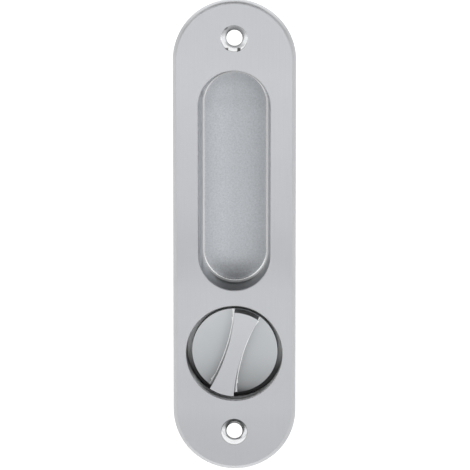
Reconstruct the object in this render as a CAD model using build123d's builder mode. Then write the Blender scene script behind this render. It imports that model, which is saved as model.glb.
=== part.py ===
from build123d import *
import os
from math import cos, degrees, radians, sin, tan

os.makedirs("parts", exist_ok=True)

# Flush pull plate with a thumb turn, for a sliding door lock. Millimetres.
# +Z runs up the plate, -Y comes out of its face and +Y goes into the door.
# The origin lies on the plate's back face, midway between the two screw holes.

# Face plate
plate_length = 155.5
plate_width = 40.0
plate_thickness = 2.5
plate_edge_radius = 0.6
mouth_edge_radius = 0.3

# Holes for the two countersunk fixing screws
fixing_spacing = 130.3
fixing_hole_diameter = 5.2
fixing_countersink_diameter = 8.8
fixing_countersink_angle = 90.0

# Finger well, an obround pocket with drafted walls cast on the plate
well_length = 72.4
well_width = 23.5
well_centre_height = 18.4
well_depth = 8.2
well_draft_angle = 7.3
well_wall = 1.5

# Pressed dish that closes the finger well from behind
dish_sheet = 1.0
dish_lip = 0.6
dish_depth = 2.4
dish_flank = 9.0

# Thread-forming screws and the bosses that take them
screw_diameter = 2.5
screw_grip = 3.5
screw_head_diameter = 4.6
screw_head_height = 1.6
screw_crown_radius = 0.8
screw_recess_width = 0.7
screw_recess_length = 2.6
screw_recess_depth = 0.9
screw_point_room = 1.0
boss_diameter = 5.0
boss_offset = 0.3
ear_margin = 0.6
dish_screw_spacing = 40.0
carrier_screw_count = 4
thread_clearance = 0.02
screw_hole_clearance = 0.15

# Round well for the thumb turn, below the finger well
turn_centre_drop = 38.8
turn_well_diameter = 31.6
turn_wall = 1.6

# Carrier plate that closes the round well and holds the turn's bush
carrier_thickness = 2.3
carrier_recess = 0.7
stop_ring_radius = 10.05
stop_ring_width = 2.7
stop_ring_height = 1.2

# Flanged bearing bush
bush_wall = 0.95
bush_flange_diameter = 16.4
bush_flange = 0.8
running_clearance = 0.05

# Thumb turn: a dished disc with a waisted grip bar across it
turn_lean_angle = 17.5
turn_travel = 90.0
disc_diameter = 28.2
disc_rim_depth = 4.7
disc_rim_radius = 0.2
disc_dish = 1.4
disc_skirt_wall = 1.6
disc_web = 0.9
disc_floor_gap = 0.3
hub_diameter = 15.6
grip_rise = 1.8
grip_end_diameter = 27.8
grip_end_width = 8.1
grip_waist_width = 5.5
grip_edge_radius = 0.15
stop_lug_angle = -90.0
stop_lug_arc = 20.0
stop_lug_width = 2.3
stop_clearance = 0.3
shank_diameter = 12.0
shank_tail = 2.35
socket_cover = 1.4
socket_clearance = 0.05

# Square spindle that drives the lock, and its slotted spring pin
spindle_size = 6.0
spindle_length = 45.0
spindle_edge_chamfer = 0.4
spindle_end_chamfer = 0.5
pin_diameter = 1.5
pin_wall = 0.3
pin_slot = 0.3
pin_clearance = 0.02
pin_end_margin = 1.2

# Washers and retaining ring that hold the turn in its carrier
washer_diameter = 18.0
washer_bore_clearance = 0.15
friction_washer_thickness = 0.5
backing_washer_thickness = 0.5
spring_washer_diameter = 17.2
spring_washer_sheet = 0.4
spring_washer_height = 0.8
spring_strip_margin = 0.86
ring_thickness = 0.8
ring_groove_depth = 0.6
ring_radial_width = 1.9
ring_gap = 3.0
ring_lug_radius = 1.3
ring_lug_hole = 1.1
ring_lug_flat = 0.3
ring_seat_clearance = 0.02

# Depths along Y that pieces share
face_y = -plate_thickness
casting_rear_y = face_y + well_depth
dish_rear_y = casting_rear_y + dish_sheet
carrier_floor_y = casting_rear_y + carrier_recess
carrier_rear_y = casting_rear_y + carrier_thickness
bush_front_y = carrier_floor_y - bush_flange
disc_rim_y = face_y + disc_rim_depth
disc_centre_y = disc_rim_y + disc_dish
disc_pocket_y = disc_centre_y + disc_web
disc_skirt_y = carrier_floor_y - disc_floor_gap
hub_y = bush_front_y - running_clearance
friction_washer_y = carrier_rear_y + running_clearance
spring_washer_y = friction_washer_y + friction_washer_thickness
backing_washer_y = spring_washer_y + spring_washer_height
ring_y = backing_washer_y + backing_washer_thickness
groove_end_y = ring_y + ring_thickness + running_clearance
shank_end_y = groove_end_y + shank_tail
pin_y = (groove_end_y + shank_end_y) / 2
socket_y = disc_centre_y + socket_cover
spindle_y = socket_y + socket_clearance

# Radii and half widths that pieces share
well_taper_run = well_depth * tan(radians(well_draft_angle))
well_rear_width = well_width - 2 * well_taper_run
well_rear_length = well_length - 2 * well_taper_run
well_straight = well_length - well_width
dish_mouth = well_rear_width / 2 - dish_lip
dish_flange = well_rear_width / 2 + well_wall
dish_screw_x = dish_flange + boss_diameter / 2 + boss_offset
turn_well_radius = turn_well_diameter / 2
carrier_screw_radius = turn_well_radius + turn_wall + boss_diameter / 2 + boss_offset
ear_radius = screw_head_diameter / 2 + ear_margin
screw_hole_radius = screw_diameter / 2 + screw_hole_clearance
tapped_radius = screw_diameter / 2 + thread_clearance
shank_radius = shank_diameter / 2
bush_bore = shank_radius + running_clearance
bush_radius = bush_bore + bush_wall
disc_radius = disc_diameter / 2
groove_radius = shank_radius - ring_groove_depth
washer_bore = shank_radius + washer_bore_clearance
socket_size = spindle_size + 2 * socket_clearance
pin_hole_radius = pin_diameter / 2 + pin_clearance

turn_axis = Axis((0, 0, -turn_centre_drop), (0, 1, 0))
lean = radians(turn_lean_angle)
turn_right = (cos(lean), 0, -sin(lean))


def depth_plane(y):
    """Plane parallel to the plate's face at depth y, with X right, Z up and its normal to the front."""
    return Plane.XZ.offset(-y)


def turn_plane(y):
    """The same, centred on the turn and leaning with its grip bar."""
    return Plane(origin=(0, y, -turn_centre_drop), x_dir=turn_right, z_dir=(0, -1, 0))


def radial_plane(angle):
    """Half plane of the turn's axis: x is the radius, at an angle up from the right, and y the depth."""
    turned = radians(angle)
    return Plane(
        origin=(0, 0, -turn_centre_drop),
        x_dir=(cos(turned), 0, sin(turned)),
        z_dir=(-sin(turned), 0, cos(turned)),
    )


def dish_screw_places():
    """The four screws beside the finger well."""
    return GridLocations(2 * dish_screw_x, dish_screw_spacing, 2, 2)


def carrier_screw_places():
    """The screws round the turn."""
    return PolarLocations(carrier_screw_radius, carrier_screw_count, start_angle=180 / carrier_screw_count)


# Face plate: a casting with both wells' walls and the screw bosses on its back
well_centre = (0, well_centre_height)
turn_centre = (0, -turn_centre_drop)

with BuildPart() as face_plate:
    with BuildSketch(depth_plane(0)):
        SlotOverall(plate_length, plate_width, rotation=90)
    extrude(amount=plate_thickness)
    front_rim = face_plate.faces().sort_by(Axis.Y)[0].edges()
    fillet(front_rim, radius=plate_edge_radius)
    with BuildSketch(depth_plane(casting_rear_y)):
        with Locations(well_centre):
            SlotOverall(well_rear_length + 2 * well_wall, well_rear_width + 2 * well_wall, rotation=90)
    extrude(amount=casting_rear_y + plate_thickness / 2, taper=-well_draft_angle)
    with BuildSketch(depth_plane(casting_rear_y)):
        with Locations(turn_centre):
            Circle(turn_well_radius + turn_wall)
            with carrier_screw_places():
                Circle(boss_diameter / 2)
        with Locations(well_centre):
            with dish_screw_places():
                Circle(boss_diameter / 2)
    extrude(amount=casting_rear_y + plate_thickness / 2)
    with BuildSketch(depth_plane(casting_rear_y)):
        with Locations(well_centre):
            SlotOverall(well_rear_length, well_rear_width, rotation=90)
    extrude(amount=well_depth, taper=-well_draft_angle, mode=Mode.SUBTRACT)
    with BuildSketch(depth_plane(casting_rear_y)):
        with Locations(turn_centre):
            Circle(turn_well_radius)
    extrude(amount=well_depth, mode=Mode.SUBTRACT)
    with BuildSketch(depth_plane(casting_rear_y)):
        with Locations(turn_centre):
            with carrier_screw_places():
                Circle(tapped_radius)
        with Locations(well_centre):
            with dish_screw_places():
                Circle(tapped_radius)
    extrude(amount=screw_grip + screw_point_room, mode=Mode.SUBTRACT)
    with Locations(depth_plane(face_y)):
        with GridLocations(0, fixing_spacing, 1, 2):
            CounterSinkHole(
                fixing_hole_diameter / 2,
                fixing_countersink_diameter / 2,
                counter_sink_angle=fixing_countersink_angle,
            )
    front_face = face_plate.faces().sort_by(Axis.Y)[0]
    well_mouths = front_face.inner_wires().sort_by(SortBy.LENGTH)[-2:]
    fillet([edge for mouth in well_mouths for edge in mouth.edges()], radius=mouth_edge_radius)
face_plate.part.label = "face_plate"
export_step(face_plate.part, "parts/face_plate.step")


# Pull dish: half of its section, from the middle of the floor out to the flange's edge
flank_radius = (dish_flank**2 + dish_depth**2) / (2 * dish_depth)
floor_half_width = dish_mouth - dish_flank
floor_y = casting_rear_y + dish_depth
flank_centre_y = floor_y - flank_radius
back_radius = flank_radius + dish_sheet
flange_root = floor_half_width + (back_radius**2 - (dish_rear_y - flank_centre_y) ** 2) ** 0.5

with BuildSketch() as dish_section:
    with BuildLine():
        Line((0, floor_y), (floor_half_width, floor_y))
        RadiusArc((floor_half_width, floor_y), (dish_mouth, casting_rear_y), flank_radius)
        Polyline((dish_mouth, casting_rear_y), (dish_flange, casting_rear_y), (dish_flange, dish_rear_y),
                 (flange_root, dish_rear_y))
        RadiusArc((flange_root, dish_rear_y), (floor_half_width, floor_y + dish_sheet), -back_radius)
        Polyline((floor_half_width, floor_y + dish_sheet), (0, floor_y + dish_sheet), (0, floor_y))
    make_face()

dish_top_z = well_centre_height + well_straight / 2
dish_bottom_z = well_centre_height - well_straight / 2
with BuildPart() as pull_dish:
    with BuildSketch(Plane.XY.offset(dish_bottom_z)):
        add(dish_section.sketch)
        mirror(about=Plane.YZ)
    extrude(amount=well_straight)
    with BuildSketch(Plane.XY.offset(dish_top_z)):
        add(dish_section.sketch)
    revolve(axis=Axis((0, 0, dish_top_z), (0, -1, 0)), revolution_arc=180)
    with BuildSketch(Plane.XY.offset(dish_bottom_z)):
        add(dish_section.sketch)
    revolve(axis=Axis((0, 0, dish_bottom_z), (0, 1, 0)), revolution_arc=180)
    ear_root = (flange_root + dish_flange) / 2
    with BuildSketch(depth_plane(dish_rear_y)):
        with Locations(well_centre):
            with dish_screw_places():
                Circle(ear_radius)
            with GridLocations(ear_root + dish_screw_x, dish_screw_spacing, 2, 2):
                Rectangle(dish_screw_x - ear_root, 2 * ear_radius)
    extrude(amount=dish_sheet)
    with BuildSketch(depth_plane(dish_rear_y)):
        with Locations(well_centre):
            with dish_screw_places():
                Circle(screw_hole_radius)
    extrude(amount=dish_sheet, mode=Mode.SUBTRACT)
pull_dish.part.label = "pull_dish"
export_step(pull_dish.part, "parts/pull_dish.step")


# Turn carrier: a plate with a shallow floor, the bush's bore and a broken stop ring
stop_clearance_arc = degrees(stop_clearance / stop_ring_radius)
stop_gap_arc = turn_travel + stop_lug_arc + 2 * stop_clearance_arc
ring_start_angle = stop_lug_angle + turn_lean_angle + stop_lug_arc / 2 + stop_clearance_arc

with BuildPart() as turn_carrier:
    with BuildSketch(depth_plane(carrier_rear_y)):
        with Locations(turn_centre):
            Circle(turn_well_radius + turn_wall)
            with carrier_screw_places():
                Circle(ear_radius)
        make_hull()
    extrude(amount=carrier_thickness)
    with BuildSketch(depth_plane(carrier_floor_y)):
        with Locations(turn_centre):
            Circle(turn_well_radius)
    extrude(amount=carrier_recess, mode=Mode.SUBTRACT)
    with BuildSketch(radial_plane(ring_start_angle)):
        with Locations((stop_ring_radius, carrier_floor_y)):
            Rectangle(stop_ring_width, stop_ring_height, align=(Align.CENTER, Align.MAX))
    revolve(axis=turn_axis.reverse(), revolution_arc=360 - stop_gap_arc)
    with BuildSketch(depth_plane(carrier_rear_y)):
        with Locations(turn_centre):
            Circle(bush_radius)
            with carrier_screw_places():
                Circle(screw_hole_radius)
    extrude(amount=carrier_thickness, mode=Mode.SUBTRACT)
turn_carrier.part.label = "turn_carrier"
export_step(turn_carrier.part, "parts/turn_carrier.step")


# Screws: a pan head with a cross recess on a plain shank, one group for each clamped piece
def screw_group(places, centre, head_y, clamped):
    """Four like screws whose heads bear on the plane at head_y and clamp a given thickness."""
    with BuildPart() as group:
        with BuildSketch(depth_plane(head_y)):
            with Locations(centre):
                with places():
                    Circle(screw_diameter / 2)
        extrude(amount=clamped + screw_grip)
        with BuildSketch(depth_plane(head_y + screw_head_height)):
            with Locations(centre):
                with places():
                    Circle(screw_head_diameter / 2)
        extrude(amount=screw_head_height)
        crowns = group.edges().group_by(Axis.Y)[-1]
        fillet(crowns, radius=screw_crown_radius)
        with BuildSketch(depth_plane(head_y + screw_head_height)):
            with Locations(centre):
                with places():
                    Rectangle(screw_recess_length, screw_recess_width)
                    Rectangle(screw_recess_width, screw_recess_length)
        extrude(amount=screw_recess_depth, mode=Mode.SUBTRACT)
    return group.part


dish_screws = screw_group(dish_screw_places, well_centre, dish_rear_y, dish_sheet)
dish_screws.label = "dish_screws"
export_step(dish_screws, "parts/dish_screws.step")

carrier_screws = screw_group(carrier_screw_places, turn_centre, carrier_rear_y, carrier_thickness)
carrier_screws.label = "carrier_screws"
export_step(carrier_screws, "parts/carrier_screws.step")


# Bearing bush: a sleeve pressed in the carrier, with a flange under the turn's hub
with BuildPart() as turn_bush:
    with BuildSketch(radial_plane(0)):
        with BuildLine():
            Polyline(
                (bush_bore, bush_front_y),
                (bush_flange_diameter / 2, bush_front_y),
                (bush_flange_diameter / 2, carrier_floor_y),
                (bush_radius, carrier_floor_y),
                (bush_radius, carrier_rear_y),
                (bush_bore, carrier_rear_y),
                close=True,
            )
        make_face()
    revolve(axis=turn_axis)
turn_bush.part.label = "turn_bush"
export_step(turn_bush.part, "parts/turn_bush.step")


# Thumb turn: a turned disc, hub and shank, with the grip bar standing on the disc
rim_flat = disc_radius - disc_rim_radius
skirt_bore = disc_radius - disc_skirt_wall
grip_end = grip_end_diameter / 2
grip_corner = (grip_end**2 - (grip_end_width / 2) ** 2) ** 0.5
rim_shoulder_y = disc_rim_y + disc_rim_radius

with BuildPart() as turn_knob:
    with BuildSketch(radial_plane(0)):
        with BuildLine():
            dish_radius = (rim_flat**2 + disc_dish**2) / (2 * disc_dish)
            RadiusArc((0, disc_centre_y), (rim_flat, disc_rim_y), dish_radius)
            RadiusArc((rim_flat, disc_rim_y), (disc_radius, rim_shoulder_y), -disc_rim_radius)
            Polyline(
                (disc_radius, rim_shoulder_y),
                (disc_radius, disc_skirt_y),
                (skirt_bore, disc_skirt_y),
                (skirt_bore, disc_pocket_y),
                (hub_diameter / 2, disc_pocket_y),
                (hub_diameter / 2, hub_y),
                (shank_radius, hub_y),
                (shank_radius, ring_y),
                (groove_radius, ring_y),
                (groove_radius, groove_end_y),
                (shank_radius, groove_end_y),
                (shank_radius, shank_end_y),
                (0, shank_end_y),
                (0, disc_centre_y),
            )
        make_face()
    revolve(axis=turn_axis)
    with BuildSketch(turn_plane(disc_pocket_y)):
        with BuildLine():
            ThreePointArc((grip_end_width / 2, -grip_corner), (grip_waist_width / 2, 0),
                          (grip_end_width / 2, grip_corner))
            ThreePointArc((grip_end_width / 2, grip_corner), (0, grip_end),
                          (-grip_end_width / 2, grip_corner))
            ThreePointArc((-grip_end_width / 2, grip_corner), (-grip_waist_width / 2, 0),
                          (-grip_end_width / 2, -grip_corner))
            ThreePointArc((-grip_end_width / 2, -grip_corner), (0, -grip_end),
                          (grip_end_width / 2, -grip_corner))
        make_face()
    extrude(amount=disc_pocket_y - face_y + grip_rise)
    grip_crown = turn_knob.faces().sort_by(Axis.Y)[0].edges()
    fillet(grip_crown, radius=grip_edge_radius)
    lug_start_angle = stop_lug_angle - stop_lug_arc / 2
    with BuildSketch(radial_plane(lug_start_angle)):
        with Locations((stop_ring_radius, disc_pocket_y)):
            Rectangle(stop_lug_width, disc_skirt_y - disc_pocket_y, align=(Align.CENTER, Align.MIN))
    revolve(axis=turn_axis.reverse(), revolution_arc=stop_lug_arc)
    with BuildSketch(turn_plane(shank_end_y)):
        Rectangle(socket_size, socket_size)
    extrude(amount=shank_end_y - socket_y, mode=Mode.SUBTRACT)
    with BuildSketch(Plane(origin=(0, pin_y, -turn_centre_drop), x_dir=(0, 1, 0), z_dir=turn_right)):
        Circle(pin_hole_radius)
    extrude(amount=shank_diameter, both=True, mode=Mode.SUBTRACT)
turn_knob.part.label = "turn_knob"
export_step(turn_knob.part, "parts/turn_knob.step")


# Spindle: a square bar in the shank's socket, which reaches the lock behind the plate
with BuildPart() as spindle:
    with BuildSketch(turn_plane(spindle_y + spindle_length)):
        Rectangle(spindle_size, spindle_size)
        chamfer(vertices(), length=spindle_edge_chamfer)
    extrude(amount=spindle_length)
    spindle_tip = spindle.faces().sort_by(Axis.Y)[-1].edges()
    chamfer(spindle_tip, length=spindle_end_chamfer)
    with BuildSketch(Plane(origin=(0, pin_y, -turn_centre_drop), x_dir=(0, 1, 0), z_dir=turn_right)):
        Circle(pin_hole_radius)
    extrude(amount=spindle_size, both=True, mode=Mode.SUBTRACT)
spindle.part.label = "spindle"
export_step(spindle.part, "parts/spindle.step")


# Spring pin: a slotted tube through the shank and the spindle
pin_length = shank_diameter - pin_end_margin
with BuildPart() as spindle_pin:
    with BuildSketch(Plane(origin=(0, pin_y, -turn_centre_drop), x_dir=(0, 1, 0), z_dir=turn_right)):
        Circle(pin_diameter / 2)
        Circle(pin_diameter / 2 - pin_wall, mode=Mode.SUBTRACT)
        with Locations((pin_diameter / 2, 0)):
            Rectangle(pin_diameter, pin_slot, mode=Mode.SUBTRACT)
    extrude(amount=pin_length / 2, both=True)
spindle_pin.part.label = "spindle_pin"
export_step(spindle_pin.part, "parts/spindle_pin.step")


# Friction washer and backing washer: flat rings each side of the spring washer
with BuildPart() as friction_washer:
    with BuildSketch(turn_plane(friction_washer_y + friction_washer_thickness)):
        Circle(washer_diameter / 2)
        Circle(washer_bore, mode=Mode.SUBTRACT)
    extrude(amount=friction_washer_thickness)
friction_washer.part.label = "friction_washer"
export_step(friction_washer.part, "parts/friction_washer.step")

with BuildPart() as backing_washer:
    with BuildSketch(turn_plane(backing_washer_y + backing_washer_thickness)):
        Circle(washer_diameter / 2)
        Circle(washer_bore, mode=Mode.SUBTRACT)
    extrude(amount=backing_washer_thickness)
backing_washer.part.label = "backing_washer"
export_step(backing_washer.part, "parts/backing_washer.step")


# Spring washer: a flat ring bent to one gentle curve, cut out of a curved strip
spring_radius = spring_washer_diameter / 2
strip_half_width = spring_radius + spring_strip_margin
strip_rise = (spring_washer_height - spring_washer_sheet) * (strip_half_width / spring_radius) ** 2
strip_end_y = spring_washer_y + strip_rise

with BuildPart() as spring_washer:
    with BuildSketch(turn_plane(backing_washer_y)):
        Circle(spring_radius)
        Circle(washer_bore, mode=Mode.SUBTRACT)
    extrude(amount=spring_washer_height)
    with BuildSketch(radial_plane(0)):
        with BuildLine():
            ThreePointArc((-strip_half_width, strip_end_y), (0, spring_washer_y),
                          (strip_half_width, strip_end_y))
            Line((strip_half_width, strip_end_y), (strip_half_width, strip_end_y + spring_washer_sheet))
            ThreePointArc((strip_half_width, strip_end_y + spring_washer_sheet),
                          (0, spring_washer_y + spring_washer_sheet),
                          (-strip_half_width, strip_end_y + spring_washer_sheet))
            Line((-strip_half_width, strip_end_y + spring_washer_sheet), (-strip_half_width, strip_end_y))
        make_face()
    extrude(amount=strip_half_width, both=True, mode=Mode.INTERSECT)
spring_washer.part.label = "spring_washer"
export_step(spring_washer.part, "parts/spring_washer.step")


# Retaining ring: an open ring in the shank's groove, with two plier lugs
ring_bore = groove_radius + ring_seat_clearance
ring_radius = ring_bore + ring_radial_width
lug_x = ring_gap / 2 + ring_lug_radius - ring_lug_flat

with BuildPart() as retaining_ring:
    with BuildSketch(turn_plane(ring_y + ring_thickness)):
        Circle(ring_radius)
        with Locations((-lug_x, ring_radius), (lug_x, ring_radius)):
            Circle(ring_lug_radius)
        Circle(ring_bore, mode=Mode.SUBTRACT)
        Rectangle(ring_gap, 2 * ring_radius, align=(Align.CENTER, Align.MIN), mode=Mode.SUBTRACT)
        with Locations((-lug_x, ring_radius), (lug_x, ring_radius)):
            Circle(ring_lug_hole / 2, mode=Mode.SUBTRACT)
    extrude(amount=ring_thickness)
retaining_ring.part.label = "retaining_ring"
export_step(retaining_ring.part, "parts/retaining_ring.step")
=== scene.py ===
"""Flush pull plate with a thumb turn, for a sliding door lock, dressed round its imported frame.

Sizes are in millimetres and the scene is in metres. +Z runs up the plate, -Y comes out of its
face and +Y goes into the door. The origin lies on the plate's back face, midway between the
two screw holes.
"""

import logging
from dataclasses import dataclass
from enum import Enum
from math import asin, cos, degrees, pi, radians, sin, sqrt, tan
from typing import Callable, Sequence

import bmesh
import bpy
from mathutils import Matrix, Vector


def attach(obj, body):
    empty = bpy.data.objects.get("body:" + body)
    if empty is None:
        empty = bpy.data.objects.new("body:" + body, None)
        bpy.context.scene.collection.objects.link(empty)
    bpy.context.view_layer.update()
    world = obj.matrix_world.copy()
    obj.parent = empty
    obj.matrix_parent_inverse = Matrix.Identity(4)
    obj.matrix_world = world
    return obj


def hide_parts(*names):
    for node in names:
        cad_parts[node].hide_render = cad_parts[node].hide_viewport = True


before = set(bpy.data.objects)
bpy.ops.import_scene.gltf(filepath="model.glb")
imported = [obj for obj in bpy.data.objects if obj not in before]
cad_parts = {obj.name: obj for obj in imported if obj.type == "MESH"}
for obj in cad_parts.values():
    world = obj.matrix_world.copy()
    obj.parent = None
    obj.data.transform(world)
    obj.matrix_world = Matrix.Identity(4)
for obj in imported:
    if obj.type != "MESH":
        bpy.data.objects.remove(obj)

log = logging.getLogger("pull_plate")

MM = 0.001
START_OBJECTS = ("Cube", "Light", "Camera")

# Flats round a turned solid, a bar, a bored ring and a square, and a square's own turn
ROUND_STEPS = 128
BAR_STEPS = 48
RING_STEPS = 96
SQUARE_STEPS = 4
SQUARE_TURN = 45.0

# How far cutters reach past the metal, and the distance within which two points are one
OVERCUT = 1.0
DOUBLES = 0.0005

# Slacks for telling by its place what a face, an edge or a point belongs to
TRACE = 0.001
HAIR = 0.01
SLACK = 0.02
WIDE_SLACK = 0.05

Pair = tuple[float, float]
Triple = tuple[float, float, float]


def clear_start_scene() -> None:
    """Removes the objects that a new Blender scene starts with."""
    for name in START_OBJECTS:
        if name in bpy.data.objects:
            bpy.data.objects.remove(bpy.data.objects[name], do_unlink=True)


clear_start_scene()
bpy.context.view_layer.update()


def arc(centre: Pair, radius: float, start: float, end: float, count: int) -> list[Pair]:
    """Points along a circular arc.

    Args:
        centre: The arc's centre.
        radius: Its radius.
        start: Angle of the first point, in degrees.
        end: Angle of the last point, in degrees.
        count: Number of runs between the points.

    Returns:
        The points, the first and the last among them.
    """
    turns = [radians(start + (end - start) * step / count) for step in range(count + 1)]
    return [(centre[0] + radius * cos(turn), centre[1] + radius * sin(turn)) for turn in turns]


def four_places(aside: float, rise: float, middle: float) -> list[Pair]:
    """Four places (x, z) round a height on the centre line, the right ones first."""
    return [(i * aside, middle + j * rise) for i in (1, -1) for j in (1, -1)]


# Modelling


class Joinery(Enum):
    """How one solid is combined with another."""

    CUT = "DIFFERENCE"
    WELD = "UNION"
    KEEP = "INTERSECT"


class Element(Enum):
    """What is picked on a mesh."""

    POINTS = "VERT"
    EDGES = "EDGE"


class Solid:
    """A closed mesh that is turned, drawn out, cut, welded and bevelled like a workpiece."""

    def __init__(self, thing: bpy.types.Object, name: str) -> None:
        """Takes over a mesh object and names it.

        Args:
            thing: The mesh object.
            name: The name for it and for its mesh.
        """
        self.thing = thing
        self.thing.name = name
        self.thing.data.name = name

    @classmethod
    def begin(cls, name: str, point: Triple) -> "Solid":
        """Starts a mesh from one point, and leaves it in edit mode with that point picked.

        Args:
            name: The mesh's name.
            point: Where the point lies.

        Returns:
            The new solid, still open.
        """
        bpy.ops.object.select_all(action="DESELECT")
        bpy.ops.mesh.primitive_plane_add(size=MM, location=(0, 0, 0))
        made = cls(bpy.context.object, name)
        bpy.ops.object.mode_set(mode="EDIT")
        bpy.ops.mesh.select_mode(type=Element.POINTS.value)
        bpy.ops.mesh.select_all(action="SELECT")
        bpy.ops.mesh.merge(type="CENTER")
        bpy.ops.transform.translate(value=Vector(point) * MM)
        return made

    @classmethod
    def outline(cls, name: str, points: Sequence[Triple]) -> "Solid":
        """Draws a line of edges through points, and leaves it in edit mode.

        Args:
            name: The mesh's name.
            points: The points, in order.

        Returns:
            The new solid, still open.
        """
        made = cls.begin(name, points[0])
        for before, after in zip(points, points[1:]):
            step = (Vector(after) - Vector(before)) * MM
            bpy.ops.mesh.extrude_vertices_move(TRANSFORM_OT_translate={"value": step})
        return made

    @classmethod
    def turned(
        cls, name: str, section: Sequence[Pair], centre_z: float, steps: int = ROUND_STEPS
    ) -> "Solid":
        """Turns a half section about an axis along Y.

        Args:
            name: The mesh's name.
            section: (radius, y) points, from the axis round to the axis.
            centre_z: Height of the axis.
            steps: Number of flats round the axis.

        Returns:
            The closed solid. No row of its points lies level with the axis, so it can be
            parted there.
        """
        half = pi / steps
        points = [(r * cos(half), y, centre_z + r * sin(half)) for r, y in section]
        made = cls.outline(name, points)
        bpy.ops.mesh.select_all(action="SELECT")
        bpy.ops.mesh.spin(
            steps=steps, angle=2 * pi, center=(0, 0, centre_z * MM), axis=(0, 1, 0)
        )
        made.close()
        return made

    @classmethod
    def bar(
        cls, name: str, radius: float, start: Triple, end: Triple, steps: int = BAR_STEPS
    ) -> "Solid":
        """Makes a round bar from one point to another.

        Args:
            name: The mesh's name.
            radius: The bar's radius.
            start: Middle of one end.
            end: Middle of the other end.
            steps: Number of flats round it.

        Returns:
            The closed bar.
        """
        run = (Vector(end) - Vector(start)) * MM
        bpy.ops.object.select_all(action="DESELECT")
        bpy.ops.mesh.primitive_cylinder_add(
            vertices=steps,
            radius=radius * MM,
            depth=run.length,
            location=(Vector(start) + Vector(end)) / 2 * MM,
            rotation=run.to_track_quat("Z", "Y").to_euler(),
        )
        made = cls(bpy.context.object, name)
        bpy.ops.object.transform_apply(location=True, rotation=True, scale=True)
        return made

    @classmethod
    def pin(
        cls, name: str, radius: float, ends: Pair, place: Pair, steps: int = BAR_STEPS
    ) -> "Solid":
        """A round bar along Y, between two depths, at a place (x, z) on the plate."""
        x, z = place
        return cls.bar(name, radius, (x, ends[0], z), (x, ends[1], z), steps)

    def hold(self) -> None:
        """Selects this solid alone and makes it the active one."""
        bpy.ops.object.select_all(action="DESELECT")
        self.thing.select_set(True)
        bpy.context.view_layer.objects.active = self.thing

    def open(self) -> None:
        """Brings the mesh into edit mode."""
        self.hold()
        bpy.ops.object.mode_set(mode="EDIT")

    def close(self) -> None:
        """Merges doubles, turns all faces outwards and leaves edit mode."""
        bpy.ops.mesh.select_all(action="SELECT")
        bpy.ops.mesh.remove_doubles(threshold=DOUBLES * MM)
        bpy.ops.mesh.normals_make_consistent(inside=False)
        bpy.ops.object.mode_set(mode="OBJECT")

    def pick(self, kind: Element, test: Callable[..., bool]) -> None:
        """Picks points or edges in edit mode.

        Args:
            kind: What to pick.
            test: Gets a point's place, or an edge's two places and the edge itself, and says
                whether to pick it.
        """
        bpy.ops.mesh.select_mode(type=kind.value)
        bpy.ops.mesh.select_all(action="DESELECT")
        mesh = bmesh.from_edit_mesh(self.thing.data)
        mesh.normal_update()
        if kind is Element.POINTS:
            found = [v for v in mesh.verts if test(v.co / MM)]
        else:
            found = [e for e in mesh.edges if test(e.verts[0].co / MM, e.verts[1].co / MM, e)]
        for element in found:
            element.select_set(True)
        mesh.select_flush_mode()
        bmesh.update_edit_mesh(self.thing.data)

    def draw_out(self, length: float, middle: float) -> "Solid":
        """Parts a turned solid at a height and moves its halves apart, which makes it obround.

        Args:
            length: How far the halves are moved apart.
            middle: Height of the solid's axis.

        Returns:
            The solid itself.
        """
        self.open()
        for side in (1, -1):
            self.pick(Element.POINTS, lambda place: side * (place.z - middle) > 0)
            bpy.ops.transform.translate(value=(0, 0, side * length / 2 * MM))
        bpy.ops.object.mode_set(mode="OBJECT")
        return self

    def turn(self, angle: float, centre_z: float) -> None:
        """Turns the solid clockwise, seen from the front, about an axis along Y.

        Args:
            angle: The turn, in degrees.
            centre_z: Height of the axis.
        """
        self.open()
        mesh = bmesh.from_edit_mesh(self.thing.data)
        c, s = cos(radians(angle)), sin(radians(angle))
        for point in mesh.verts:
            x, z = point.co.x, point.co.z - centre_z * MM
            point.co.x = c * x + s * z
            point.co.z = -s * x + c * z + centre_z * MM
        bmesh.update_edit_mesh(self.thing.data)
        bpy.ops.object.mode_set(mode="OBJECT")

    def combine(self, how: Joinery, *others: "Solid") -> "Solid":
        """Cuts other solids out of this one, welds them on, or keeps what both fill.

        Args:
            how: What is done with the others.
            *others: The other solids, which are used up.

        Returns:
            The solid itself.
        """
        for other in others:
            self.hold()
            step = self.thing.modifiers.new(how.name, "BOOLEAN")
            step.operation = how.value
            step.solver = "EXACT"
            step.object = other.thing
            bpy.ops.object.modifier_apply(modifier=step.name)
            bpy.data.objects.remove(other.thing, do_unlink=True)
        return self

    def bevel(self, test: Callable[..., bool], width: float, runs: int) -> None:
        """Rounds the edges that pass a test.

        Args:
            test: Gets an edge's two places and the edge itself.
            width: Width of the round.
            runs: Number of faces across it.
        """
        self.open()
        self.pick(Element.EDGES, test)
        bpy.ops.mesh.bevel(offset=width * MM, segments=runs, affect="EDGES", clamp_overlap=True)
        bpy.ops.object.mode_set(mode="OBJECT")

    def smooth(self, angle: float = 35.0) -> "Solid":
        """Shades curved parts smooth and keeps flats flat and corners sharp.

        Args:
            angle: The bend from which an edge stays sharp, in degrees.

        Returns:
            The solid itself.
        """
        self.hold()
        bpy.ops.object.shade_smooth_by_angle(angle=radians(angle))
        weigh = self.thing.modifiers.new("weigh", "WEIGHTED_NORMAL")
        weigh.keep_sharp = True
        bpy.ops.object.modifier_apply(modifier=weigh.name)
        return self

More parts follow.
